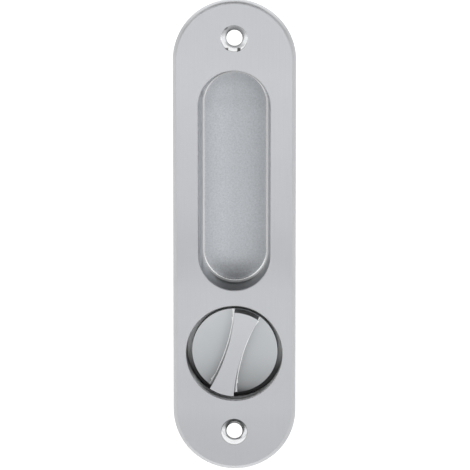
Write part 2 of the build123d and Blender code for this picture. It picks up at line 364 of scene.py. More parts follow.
    def dress(self, looks: type[Enum], rule: Callable[[Vector, Vector], Enum]) -> "Solid":
        """Gives each face one of several finishes.

        Args:
            looks: The choice of looks, each with a finish as its value.
            rule: Gets a face's middle and its normal, and returns one of the looks.

        Returns:
            The solid itself.
        """
        slots = {look: index for index, look in enumerate(looks)}
        self.thing.data.materials.clear()
        for look in looks:
            self.thing.data.materials.append(look.value.material())
        for face in self.thing.data.polygons:
            face.material_index = slots[rule(Vector(face.center) / MM, Vector(face.normal))]
        return self

    def put(self, body: str, slot: str, *nodes: str) -> None:
        """Sets the finished piece on its body, in place of CAD nodes.

        Args:
            body: The body that it rides on.
            slot: Its material slot in the record; not used.
            *nodes: The CAD nodes that it replaces.
        """
        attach(self.thing, body)
        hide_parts(*nodes)
        log.info("%s: %d faces on %s", self.thing.name, len(self.thing.data.polygons), body)


# Finishes

# The Mix node's sockets for colours share their names with those for numbers
MIX_FACTOR = 0
MIX_FIRST = 6
MIX_SECOND = 7
MIX_RESULT = 2

# Where most of a noise's values lie
NOISE_LOW = 0.25
NOISE_HIGH = 0.75
NOISE_ROUGHNESS = 0.6

# Octaves of the marks and of the slow drift over centimetres, and that drift's size
MARK_OCTAVES = 3.0
CLOUD_OCTAVES = 1.0
CLOUD_SIZE = 14.0

WHITE = (1.0, 1.0, 1.0)


def shade(colour: Triple, factor: float) -> tuple[float, float, float, float]:
    """A colour made lighter or darker, with full alpha."""
    return (colour[0] * factor, colour[1] * factor, colour[2] * factor, 1.0)


class Grain(Enum):
    """Which way the marks of a finish run, as stretch factors along X, Y and Z."""

    UPRIGHT = (1.0, 1.0, 0.02)
    EVEN = (1.0, 1.0, 1.0)


@dataclass(frozen=True)
class Fade:
    """Painted shade or painted light, as a drift of tone along one axis of the object.

    Attributes:
        axis: X, Y or Z.
        stops: Places along it in millimetres, rising, each with its share of the tone.
        where: Another axis and two places on it, between which the drift sets in; None for
            everywhere.
    """

    axis: str
    stops: tuple[Pair, ...]
    where: tuple[str, float, float] | None = None


class Recipe:
    """The node tree of one material while it is put together."""

    def __init__(self, name: str) -> None:
        """Makes a material with only a Principled shader and an output.

        Args:
            name: The material's name.
        """
        self.material = bpy.data.materials.new(name)
        self.material.use_nodes = True
        self.tree = self.material.node_tree
        self.shader = self.tree.nodes["Principled BSDF"]

    def node(self, kind: str, inputs: dict | None = None, **settings: object) -> bpy.types.Node:
        """Adds a node.

        Args:
            kind: Blender's name of the node type, without its ShaderNode prefix.
            inputs: Values or output sockets by input name or number.
            **settings: Properties of the node itself.

        Returns:
            The new node.
        """
        made = self.tree.nodes.new("ShaderNode" + kind)
        for key, value in settings.items():
            setattr(made, key, value)
        for key, value in (inputs or {}).items():
            if isinstance(value, bpy.types.NodeSocket):
                self.tree.links.new(value, made.inputs[key])
            else:
                made.inputs[key].default_value = value
        return made

    def noise(
        self, stretch: Triple, size: float, octaves: float, lean: float = 0.0
    ) -> bpy.types.NodeSocket:
        """Adds noise on Object coordinates.

        Args:
            stretch: Factors along the axes; a small one draws the marks out that way.
            size: Width of a mark, in millimetres.
            octaves: How finely the marks are broken up.
            lean: Angle that the pattern is turned by about Y, in radians.

        Returns:
            The noise's value socket.
        """
        place = self.node("TexCoord").outputs["Object"]
        if lean:
            place = self.node("Mapping", {"Vector": place, "Rotation": (0, lean, 0)}).outputs[0]
        scale = tuple(factor / (size * MM) for factor in stretch)
        moved = self.node("Mapping", {"Vector": place, "Scale": scale}).outputs[0]
        inputs = {
            "Vector": moved, "Scale": 1.0, "Detail": octaves, "Roughness": NOISE_ROUGHNESS
        }
        return self.node("TexNoise", inputs).outputs["Fac"]

    def span(self, value: bpy.types.NodeSocket, low: float, high: float) -> bpy.types.NodeSocket:
        """Maps a noise to a range.

        Args:
            value: The noise's value socket.
            low: What its low values become.
            high: What its high values become.

        Returns:
            The mapped value's socket.
        """
        ends = {
            "From Min": NOISE_LOW, "From Max": NOISE_HIGH, "To Min": low, "To Max": high
        }
        return self.node("MapRange", {"Value": value, **ends}).outputs["Result"]

    def mix(
        self, factor: object, first: object, second: object, how: str = "MIX"
    ) -> bpy.types.NodeSocket:
        """Mixes two colours.

        Args:
            factor: The second colour's share, or a socket that gives it.
            first: A colour or a socket.
            second: A colour or a socket.
            how: Blender's name of the way to mix.

        Returns:
            The mixed colour's socket.
        """
        inputs = {MIX_FACTOR: factor, MIX_FIRST: first, MIX_SECOND: second}
        made = self.node("Mix", inputs, data_type="RGBA", blend_type=how)
        return made.outputs[MIX_RESULT]

    def times(self, first: object, second: object) -> bpy.types.NodeSocket:
        """Multiplies two colours."""
        return self.mix(1.0, first, second, "MULTIPLY")

    def along(self, axis: str, start: float, end: float) -> bpy.types.NodeSocket:
        """Runs from nought to one between two places on an axis.

        Args:
            axis: X, Y or Z.
            start: Place of the nought.
            end: Place of the one.

        Returns:
            The value's socket.
        """
        split = self.node("SeparateXYZ", {"Vector": self.node("TexCoord").outputs["Object"]})
        ends = {"From Min": start * MM, "From Max": end * MM, "To Min": 0.0, "To Max": 1.0}
        made = self.node("MapRange", {"Value": split.outputs[axis], **ends})
        return made.outputs["Result"]

    def fade(self, fade: Fade) -> bpy.types.NodeSocket:
        """Makes the colour that a drift of painted shade or painted light multiplies by.

        Args:
            fade: The drift.

        Returns:
            The colour's socket.
        """
        first, last = fade.stops[0][0], fade.stops[-1][0]
        ramp = self.node("ValToRGB", {"Fac": self.along(fade.axis, first, last)})
        band = ramp.color_ramp.elements
        band[0].color = shade(WHITE, fade.stops[0][1])
        band[1].color = shade(WHITE, fade.stops[-1][1])
        for place, share in fade.stops[1:-1]:
            band.new((place - first) / (last - first)).color = shade(WHITE, share)
        if fade.where is None:
            return ramp.outputs["Color"]
        return self.mix(self.along(*fade.where), shade(WHITE, 1.0), ramp.outputs["Color"])

    def bump(
        self, height: bpy.types.NodeSocket, depth: float, strength: float = 1.0
    ) -> bpy.types.NodeSocket:
        """Turns a height into a normal.

        Args:
            height: The height's socket.
            depth: How deep the relief is, in millimetres.
            strength: Share of it that shows.

        Returns:
            The normal's socket.
        """
        inputs = {"Height": height, "Distance": depth * MM, "Strength": strength}
        return self.node("Bump", inputs).outputs["Normal"]

    def feed(self, **sockets: bpy.types.NodeSocket) -> None:
        """Links sockets to the shader's inputs, named with _ for a space."""
        for key, value in sockets.items():
            self.tree.links.new(value, self.shader.inputs[key.replace("_", " ")])


@dataclass(frozen=True)
class MetalFinish:
    """A metal surface with fine marks in its tone, gloss and relief.

    Attributes:
        name: The material's name.
        colour: Its linear reflectance.
        roughness: The middle of its roughness.
        grain: Which way the marks run.
        mark: Width of a mark, in millimetres.
        tone: How far the tone varies, as a share.
        rough_play: How far the roughness varies.
        relief: Depth of the marks, in millimetres.
        cloud: How far the tone drifts over centimetres, as a share.
        lean: Turn of the marks about Y, in degrees.
        metallic: One for bare metal, less for a duller skin.
        fades: Painted shade and painted light over the piece, as drifts of tone.
    """

    name: str
    colour: Triple
    roughness: float
    grain: Grain = Grain.EVEN
    mark: float = 0.3
    tone: float = 0.03
    rough_play: float = 0.05
    relief: float = 0.002
    cloud: float = 0.02
    lean: float = 0.0
    metallic: float = 1.0
    fades: tuple[Fade, ...] = ()

    def material(self) -> bpy.types.Material:
        """Makes the node material.

        Returns:
            The new material.
        """
        recipe = Recipe(self.name)
        marks = recipe.noise(self.grain.value, self.mark, MARK_OCTAVES, radians(self.lean))
        drift = recipe.noise(Grain.EVEN.value, CLOUD_SIZE, CLOUD_OCTAVES)
        dark, light = shade(self.colour, 1 - self.tone), shade(self.colour, 1 + self.tone)
        product = recipe.mix(marks, dark, light)
        cloud = recipe.span(drift, 0.0, 1.0)
        product = recipe.times(
            product, recipe.mix(cloud, shade(WHITE, 1 - self.cloud), shade(WHITE, 1.0))
        )
        # Painted shade and painted light multiply the tone here.
        for fade in self.fades:
            product = recipe.times(product, recipe.fade(fade))
        low, high = self.roughness - self.rough_play, self.roughness + self.rough_play
        recipe.feed(
            Base_Color=product,
            Roughness=recipe.span(marks, low, high),
            Normal=recipe.bump(marks, self.relief),
        )
        recipe.shader.inputs["Metallic"].default_value = self.metallic
        return recipe.material


@dataclass(frozen=True)
class PlasticFinish:
    """A moulded plastic with a faint mottle.

    Attributes:
        name: The material's name.
        colour: Its linear reflectance.
        roughness: The middle of its roughness.
        mottle: Width of a patch, in millimetres.
        tones: Shares of the colour in the darkest and the lightest patches.
        rough_play: How far the roughness varies.
        relief: Depth of the mottle, in millimetres.
        strength: Share of that relief that shows.
    """

    name: str
    colour: Triple
    roughness: float
    mottle: float = 0.8
    tones: Pair = (0.94, 1.04)
    rough_play: float = 0.05
    relief: float = 0.004
    strength: float = 0.6

    def material(self) -> bpy.types.Material:
        """Makes the node material.

        Returns:
            The new material.
        """
        recipe = Recipe(self.name)
        mottle = recipe.noise(Grain.EVEN.value, self.mottle, MARK_OCTAVES)
        dark, light = self.tones
        low, high = self.roughness - self.rough_play, self.roughness + self.rough_play
        recipe.feed(
            Base_Color=recipe.mix(mottle, shade(self.colour, dark), shade(self.colour, light)),
            Roughness=recipe.span(mottle, low, high),
            Normal=recipe.bump(mottle, self.relief, self.strength),
        )
        return recipe.material


# Painted shade and painted light over the casting, as drifts of tone: its face and rim, the
# finger well's wall, the round well's wall and the two countersinks

# Painted shade on the plate's face: darker towards the bottom and just below the middle, standing
# for the studio's reflections.
FACE_PAINTED_SHADE = Fade("Z", (
    (-72, 0.812), (-62, 0.842), (-57, 0.881), (-47, 0.875), (-40, 0.90), (-27, 0.92),
    (-22, 0.92), (-17, 0.91), (-12, 0.87), (-7, 0.845), (-2, 0.855), (8, 0.91),
    (18, 0.925), (28, 0.956), (43, 0.978), (53, 1.0), (71, 0.98),
))
# Painted shade on the rim: darker along the long sides, lightest at the top end.
RIM_PAINTED_SHADE = Fade("Z", ((-77, 0.85), (-68, 0.7), (68, 0.7), (74, 0.95), (77, 1.0)))

# Painted shade on the finger well's wall: darker towards the bottom end.
WALL_PAINTED_SHADE_LOW = Fade("Z", (
    (-17.8, 0.38), (-16.5, 0.42), (-14.5, 0.6), (-12.5, 0.85), (-9, 1.0), (-4, 1.0),
))
# A painted dark line near the wall's left side.
WALL_PAINTED_DARK_LINE = Fade("X", (
    (-11.7, 1.0), (-11.0, 1.0), (-10.75, 0.75), (-10.6, 0.65), (-10.2, 0.95), (0, 0.95),
    (10.5, 1.0), (11.7, 1.0),
))
# Painted shade towards the lower right of the wall.
WALL_PAINTED_SHADE_LOW_RIGHT = Fade("X", ((4, 1.0), (10, 0.52)), ("Z", -5, -10))

# Painted shade on the round well's lower wall, darker deeper in.
ROUND_WALL_PAINTED_SHADE_DEEP = Fade(
    "Y",
    (
        (-2.5, 1.0), (1.5, 0.9), (2.5, 0.8), (3.1, 0.75), (3.9, 0.3), (4.6, 0.12),
        (5.7, 0.08),
    ),
    ("Z", -40, -46),
)
# At the round well's foot: a painted shade band near the mouth and a painted light band deeper
# in.
ROUND_WALL_PAINTED_SHADE_AND_LIGHT_BAND = Fade(
    "Y",
    (
        (-2.5, 1.0), (-1.6, 1.0), (-0.8, 0.62), (0.2, 0.42), (0.9, 0.5),
        (1.7, 1.0), (2.3, 1.25), (3.1, 1.35), (3.6, 1.6), (4.1, 2.0),
    ),
    ("Z", -49.5, -52),
)
# Painted shade round the well's sides, darkest at its middle height.
ROUND_WALL_PAINTED_SHADE_SIDES = Fade("Z", (
    (-47, 1.0), (-43, 0.5), (-39, 0.28), (-35, 0.35), (-30, 0.7), (-26, 1.0),
))
# More painted shade on the left side of the wall near the mouth.
ROUND_WALL_PAINTED_SHADE_LEFT = Fade("X", ((-15.8, 0.5), (-15.1, 0.6), (-13, 1.0)), ("Z", -35, -40))

# Painted shade in the upper countersink: darker towards its top, two painted dark spots that
# stand for dark reflections, a painted dark line round the upper part of its outer edge, and
# darker deeper in its cone.
TOP_SINK_PAINTED_SHADE_TOP = Fade("Z", ((60.7, 1.0), (65.5, 1.0), (67, 0.6), (69.6, 0.45)))
TOP_SINK_PAINTED_DARK_SPOTS = Fade(
    "X",
    (
        (-4.4, 1.0), (-3.2, 1.0), (-2.9, 0.2), (-2.1, 0.16), (-1.8, 1.0),
        (0.8, 1.0), (1.1, 0.12), (1.9, 0.1), (2.2, 1.0), (4.4, 1.0),
    ),
    ("Z", 62.2, 61.9),
)
TOP_SINK_PAINTED_DARK_LINE = Fade("Y", ((-2.5, 0.45), (-2.35, 0.55), (-2.2, 1.0)), ("Z", 65, 63.5))
TOP_SINK_PAINTED_SHADE_RING = Fade("Y", ((-2.5, 1.0), (-1.2, 1.0), (-1.0, 0.7), (-0.6, 0.55)))
# Painted shade in the lower countersink: darker towards its top, a painted dark line round its
# outer edge, and darker deeper in its cone.
LOW_SINK_PAINTED_SHADE_TOP = Fade("Z", ((-69.6, 1.0), (-64.5, 1.0), (-63, 0.45), (-60.7, 0.3)))
LOW_SINK_PAINTED_DARK_LINE = Fade("Y", ((-2.5, 0.4), (-2.35, 0.5), (-2.2, 1.0)))
LOW_SINK_PAINTED_SHADE_RING = Fade("Y", ((-2.5, 1.0), (-1.2, 1.0), (-1.0, 0.4), (-0.6, 0.3)))

# Painted shade and painted light over the dish and its lip

# Painted shade on the dish: darker towards the right.
DISH_PAINTED_SHADE_ACROSS = Fade("X", (
    (-10.3, 0.885), (-8.3, 0.954), (-5.3, 1.0), (-2.3, 0.976), (-0.3, 0.93), (1.7, 0.907),
    (3.7, 0.873), (5.7, 0.827), (7.7, 0.775), (9.7, 0.73),
))
# Painted light at the dish's lower end and painted shade towards its upper end.
DISH_PAINTED_LIGHT_AND_SHADE_ALONG = Fade("Z", (
    (-16.7, 1.2), (-15, 1.2), (-13.4, 1.27), (-12.6, 1.15), (-11.6, 1.0), (-6.7, 0.92),
    (39, 0.92), (42.3, 0.865), (44, 0.828), (47.3, 0.78), (50.7, 0.72),
))
# Painted shade on the lip and the flange: darker at both ends.
LIP_PAINTED_SHADE = Fade("Z", (
    (-16.2, 0.6), (-15.4, 0.65), (-14, 0.9), (-11, 1.0), (44, 0.95), (48, 0.7), (52, 0.45),
))
# Painted shade on the lip's sides.
LIP_PAINTED_SHADE_SIDES = Fade("X", ((-10.4, 0.58), (-9.2, 0.9), (9.2, 0.85), (10.4, 0.48)))

# Painted shade over the turn's lobes, bar and skirt, and over the carrier's front

# Painted shade on the turn's lobes: darker towards the bottom, near black at the lower rim.
LOBE_PAINTED_SHADE = Fade("Z", (
    (-53, 0.15), (-52.3, 0.25), (-51.6, 0.42), (-50.5, 0.58), (-49, 0.7), (-46, 0.81),
    (-43, 0.88), (-40, 0.92), (-33, 0.96), (-28, 1.0),
))
# Painted shade on the grip's crown: darker towards the bottom.
BAR_PAINTED_SHADE = Fade("Z", ((-54, 0.86), (-45, 0.9), (-39, 0.93), (-28, 0.99)))
# Painted shade on the skirt: darkest at the bottom.
SKIRT_PAINTED_SHADE = Fade("Z", ((-53, 0.15), (-47, 0.2), (-43, 0.6), (-38, 1.0), (-24.7, 0.9)))
# Painted shade on the carrier's front in the gap round the turn: darker at the bottom and the
# top.
GAP_PAINTED_SHADE = Fade(
    "Z",
    ((-54, 0.15), (-46, 0.2), (-42, 0.6), (-38, 1.0), (-30, 1.0), (-26, 0.7)),
    ("Y", 7.2, 6.6),
)

# The finishes themselves

SATIN = MetalFinish(
    "satin_nickel", (0.564, 0.573, 0.596), 0.34, Grain.UPRIGHT,
    mark=0.35, tone=0.05, fades=(FACE_PAINTED_SHADE,),
)
EDGE = MetalFinish("satin_edge", (0.79, 0.80, 0.82), 0.48, fades=(RIM_PAINTED_SHADE,))
# A lighter copy of the plate's satin metal, as painted light on the finger well's wall, with
# painted shade from its fades.
WELL_WALL = MetalFinish(
    "satin_well_wall", (0.82, 0.83, 0.85), 0.36,
    mark=0.25, fades=(WALL_PAINTED_SHADE_LOW, WALL_PAINTED_DARK_LINE, WALL_PAINTED_SHADE_LOW_RIGHT),
)
# A near-white non-metal copy of the plate's finish, as painted light on the round well's wall,
# with painted shade and a painted light band from its fades.
ROUND_WALL = MetalFinish(
    "satin_round_wall", (0.95, 0.96, 0.97), 0.6,
    mark=0.25, metallic=0.0,
    fades=(ROUND_WALL_PAINTED_SHADE_DEEP, ROUND_WALL_PAINTED_SHADE_AND_LIGHT_BAND, ROUND_WALL_PAINTED_SHADE_SIDES, ROUND_WALL_PAINTED_SHADE_LEFT),
)
# The two countersinks are copies of one polished finish that differ only in their painted shade.
TOP_SINK = MetalFinish(
    "turned_countersink_top", (0.92, 0.93, 0.94), 0.12,
    fades=(TOP_SINK_PAINTED_SHADE_TOP, TOP_SINK_PAINTED_DARK_SPOTS, TOP_SINK_PAINTED_DARK_LINE, TOP_SINK_PAINTED_SHADE_RING),
)
LOW_SINK = MetalFinish(
    "turned_countersink_low", (0.92, 0.93, 0.94), 0.12,
    fades=(LOW_SINK_PAINTED_SHADE_TOP, LOW_SINK_PAINTED_DARK_LINE, LOW_SINK_PAINTED_SHADE_RING),
)
GRAINED = MetalFinish(
    "grained_dish", (0.606, 0.628, 0.658), 0.46,
    mark=0.5, tone=0.32, relief=0.02, fades=(DISH_PAINTED_SHADE_ACROSS, DISH_PAINTED_LIGHT_AND_SHADE_ALONG),
)
LIP = MetalFinish("bright_lip", (0.97, 0.98, 0.99), 0.2, fades=(LIP_PAINTED_SHADE, LIP_PAINTED_SHADE_SIDES))
FLANGE = MetalFinish("satin_flange", (0.5, 0.51, 0.52), 0.3, fades=(LIP_PAINTED_SHADE,))
TURN_SATIN = MetalFinish("satin_turn", (0.515, 0.533, 0.547), 0.33, fades=(LOBE_PAINTED_SHADE,))
TURN_BAR = MetalFinish(
    "satin_turn_bar", (0.551, 0.56, 0.582), 0.34, Grain.UPRIGHT, lean=17.5, fades=(BAR_PAINTED_SHADE,)
)
# A darker copy of the turn's satin metal: painted shade on the grip's flanks.
BAR_FLANK_PAINTED_SHADE = MetalFinish("satin_turn_flank", (0.42, 0.42, 0.43), 0.4)
# A lighter copy of the turn's satin metal: a painted highlight on the round at the grip's foot.
BAR_FOOT_PAINTED_HIGHLIGHT = MetalFinish("satin_turn_foot", (0.85, 0.86, 0.87), 0.34)
TURN_SIDE = MetalFinish("shaded_skirt", (0.36, 0.36, 0.365), 0.4, fades=(SKIRT_PAINTED_SHADE,))
CASTING = MetalFinish(
    "die_casting", (0.42, 0.43, 0.44), 0.48, mark=0.5, tone=0.08, relief=0.015
)
# Lighter than the casting's back, in part as painted light in the gap round the turn.
CARRIER = MetalFinish(
    "carrier_casting", (0.58, 0.59, 0.60), 0.48,
    mark=0.5, tone=0.08, relief=0.015, fades=(GAP_PAINTED_SHADE,),
)
ZINC = MetalFinish("zinc_plate", (0.60, 0.62, 0.64), 0.24, mark=0.4)
DRAWN = MetalFinish("drawn_bar", (0.44, 0.45, 0.46), 0.34)
SPRING = MetalFinish("phosphated_spring", (0.05, 0.05, 0.055), 0.42, tone=0.2)
ACETAL = PlasticFinish("natural_acetal", (0.76, 0.76, 0.71), 0.42)


# Sub-assemblies


class PlateLook(Enum):
    """The finishes of the casting's faces."""

    FACE = SATIN
    FINGER_WALL = WELL_WALL
    UPPER_SINK = TOP_SINK
    REAR = CASTING
    TURN_WALL = ROUND_WALL
    LOWER_SINK = LOW_SINK
    RIM = EDGE


@dataclass(frozen=True)
class FacePlate:
    """The casting: an obround plate, both wells' walls and the screw bosses on its back.

    Attributes:
        edge_radius: Round of the plate's front rim.
        rim_runs: Number of faces across that round.
        finger_roll: Round of the finger well's mouth.
        turn_roll: Round of the round well's mouth.
        roll_end: Angle at which a mouth's round meets the front, in degrees.
        roll_runs: Number of faces across a mouth's round.
        rear: How far the wells' walls reach behind the plate's back.
        well_draft: Slope of the finger well's wall, in degrees.
        wall: Thickness of that wall.
        turn_wall: Thickness of the round well's wall.
        tapped: Diameter of the screws' holes in the bosses.
        dish_screw: How far the dish's screws are from the well's middle, across and along.
        carrier_screw_circle: Radius of the circle that the carrier's screws lie on.
        casting_half: Half width within which all that lies behind the plate's back is casting.
        back_normal: Lowest Y of a normal that points backwards.
        face_normal: Highest Y of a normal on the flat front.
        turn_zone: How far above the round well its faces are looked for.
        roll_share: Share of the round well's mouth that has the front's finish.
    """

    length: float = 155.5
    width: float = 40.0
    thickness: float = 2.5
    edge_radius: float = 1.5
    rim_runs: int = 8
    finger_roll: float = 0.35
    turn_roll: float = 0.32
    roll_end: float = 264.0
    roll_runs: int = 10
    rear: float = 5.7
    fixing_spacing: float = 130.3
    fixing_hole: float = 5.2
    countersink: float = 8.8
    well_mouth_length: float = 72.4
    well_mouth_width: float = 23.5
    well_middle: float = 18.4
    well_draft: float = 7.3
    wall: float = 1.5
    turn_middle: float = -38.8
    turn_well: float = 31.4
    turn_wall: float = 1.6
    boss: float = 5.0
    boss_depth: float = 4.5
    tapped: float = 2.54
    dish_screw: Pair = (15.0, 20.0)
    carrier_screw_circle: float = 20.2
    casting_half: float = 17.5
    back_normal: float = 0.9
    face_normal: float = -0.995
    turn_zone: float = 1.0
    roll_share: float = 0.35

    @property
    def straight(self) -> float:
        """Length of the finger well's straight sides."""
        return self.well_mouth_length - self.well_mouth_width

    def well_radius(self, y: float) -> float:
        """Half width of the drafted finger well at a depth."""
        return self.well_mouth_width / 2 - (y + self.thickness) * tan(radians(self.well_draft))

    def screw_places(self) -> list[Pair]:
        """Places (x, z) of the eight tapped bosses."""
        reach = self.carrier_screw_circle * sqrt(0.5)
        beside = four_places(*self.dish_screw, self.well_middle)
        return beside + four_places(reach, reach, self.turn_middle)

    def blank(self) -> Solid:
        """Models the plate with its rounded front rim.

        Returns:
            The plate, without wells or holes.
        """
        front, half = -self.thickness, self.width / 2
        centre = (half - self.edge_radius, front + self.edge_radius)
        rim = arc(centre, self.edge_radius, 0, -90, self.rim_runs)
        plate = Solid.turned("face_plate_casting", [(0, 0), (half, 0), *rim, (0, front)], 0)
        return plate.draw_out(self.length - self.width, 0)

    def mouth_cutter(
        self, name: str, centre_z: float, roll: float, radius: Callable[[float], float]
    ) -> Solid:
        """Models a cutter for a well whose mouth is rounded over.

        Args:
            name: The mesh's name.
            centre_z: Height of its axis.
            roll: Radius of the rounded mouth.
            radius: Half width of the well at a depth.

        Returns:
            The turned cutter.
        """
        front, end = -self.thickness, self.rear + OVERCUT
        centre = (radius(front + roll) + roll, front + roll)
        flare = arc(centre, roll, 180, self.roll_end, self.roll_runs)
        outer = flare[-1][0]
        floor = [(0, end), (radius(end), end)]
        section = [*floor, *flare, (outer, front - OVERCUT), (0, front - OVERCUT)]
        return Solid.turned(name, section, centre_z)

    def countersink_cutter(self, z: float) -> Solid:
        """Models a cutter for one screw hole with its countersink.

        Args:
            z: Height of the hole.

        Returns:
            The turned cutter.
        """
        front, hole, sink = -self.thickness, self.fixing_hole / 2, self.countersink / 2
        bore = [(0, OVERCUT), (hole, OVERCUT), (hole, front + sink - hole)]
        cone = [(sink, front), (sink + OVERCUT, front - OVERCUT), (0, front - OVERCUT)]
        return Solid.turned("countersink", bore + cone, z, RING_STEPS)

    def walls(self) -> list[Solid]:
        """Models the walls of the finger well and of the round well, both still full.

        Returns:
            The two solids.
        """
        rear, root = self.rear, -self.thickness / 2
        near, far = self.well_radius(root) + self.wall, self.well_radius(rear) + self.wall
        section = [(0, root), (near, root), (far, rear), (0, rear)]
        wall = Solid.turned("well_wall", section, self.well_middle)
        wall.draw_out(self.straight, self.well_middle)
        out = self.turn_well / 2 + self.turn_wall
        section = [(0, root), (out, root), (out, rear), (0, rear)]
        return [wall, Solid.turned("turn_wall", section, self.turn_middle)]

    def build(self) -> Solid:
        """Models the casting.

        Returns:
            The finished solid.
        """
        walls = self.walls()
        plate = self.blank().combine(Joinery.WELD, *walls)
        ends = (-self.thickness / 2, self.rear)
        for place in self.screw_places():
            plate.combine(Joinery.WELD, Solid.pin("boss", self.boss / 2, ends, place))
        well = self.mouth_cutter(
            "finger_well", self.well_middle, self.finger_roll, self.well_radius
        )
        well.draw_out(self.straight, self.well_middle)
        turn_well = self.mouth_cutter(
            "turn_well", self.turn_middle, self.turn_roll, lambda y: self.turn_well / 2
        )
        plate.combine(Joinery.CUT, well, turn_well)
        for side in (1, -1):
            plate.combine(Joinery.CUT, self.countersink_cutter(side * self.fixing_spacing / 2))
        ends = (self.rear - self.boss_depth, self.rear + OVERCUT)
        for place in self.screw_places():
            plate.combine(Joinery.CUT, Solid.pin("thread", self.tapped / 2, ends, place))
        return plate.smooth()

    def outside_wells(self, middle: Vector) -> bool:
        """Tells whether a point lies outside both wells' inner walls.

        Args:
            middle: The point.

        Returns:
            True if it does.
        """
        rise = max(abs(middle.z - self.well_middle) - self.straight / 2, 0)
        off_well = Vector((middle.x, rise)).length - self.well_radius(middle.y)
        off_turn = Vector((middle.x, middle.z - self.turn_middle)).length - self.turn_well / 2
        return min(off_well, off_turn) > WIDE_SLACK

    def look_of(self, middle: Vector, normal: Vector) -> PlateLook:
        """Tells a face's finish by where it lies.

        Args:
            middle: The face's middle.
            normal: The face's normal.

        Returns:
            The look.
        """
        front, spacing = -self.thickness, self.fixing_spacing / 2
        hole = min(Vector((middle.x, middle.z - side * spacing)).length for side in (1, -1))
        behind = abs(middle.x) < self.casting_half and middle.y > HAIR
        if normal.y > self.back_normal or behind and self.outside_wells(middle):
            return PlateLook.REAR
        if hole < self.countersink / 2 + SLACK and middle.y > front + TRACE:
            return PlateLook.UPPER_SINK if middle.z > 0 else PlateLook.LOWER_SINK
        if self.outside_wells(middle):
            return PlateLook.FACE if normal.y < self.face_normal else PlateLook.RIM
        if middle.z < self.turn_middle + self.turn_well / 2 + self.turn_zone:
            inside = middle.y > front + self.roll_share * self.turn_roll
            return PlateLook.TURN_WALL if inside else PlateLook.FACE
        return PlateLook.FINGER_WALL if middle.y > front + self.finger_roll else PlateLook.FACE

    def place(self) -> None:
        """Builds, dresses and places the casting."""
        self.build().dress(PlateLook, self.look_of).put("plate", "satin_plate", "face_plate")


class DishLook(Enum):
    """The finishes of the dish's faces."""

    INSIDE = GRAINED
    BRIGHT_LIP = LIP
    BACK = CASTING
    DULL_FLANGE = FLANGE


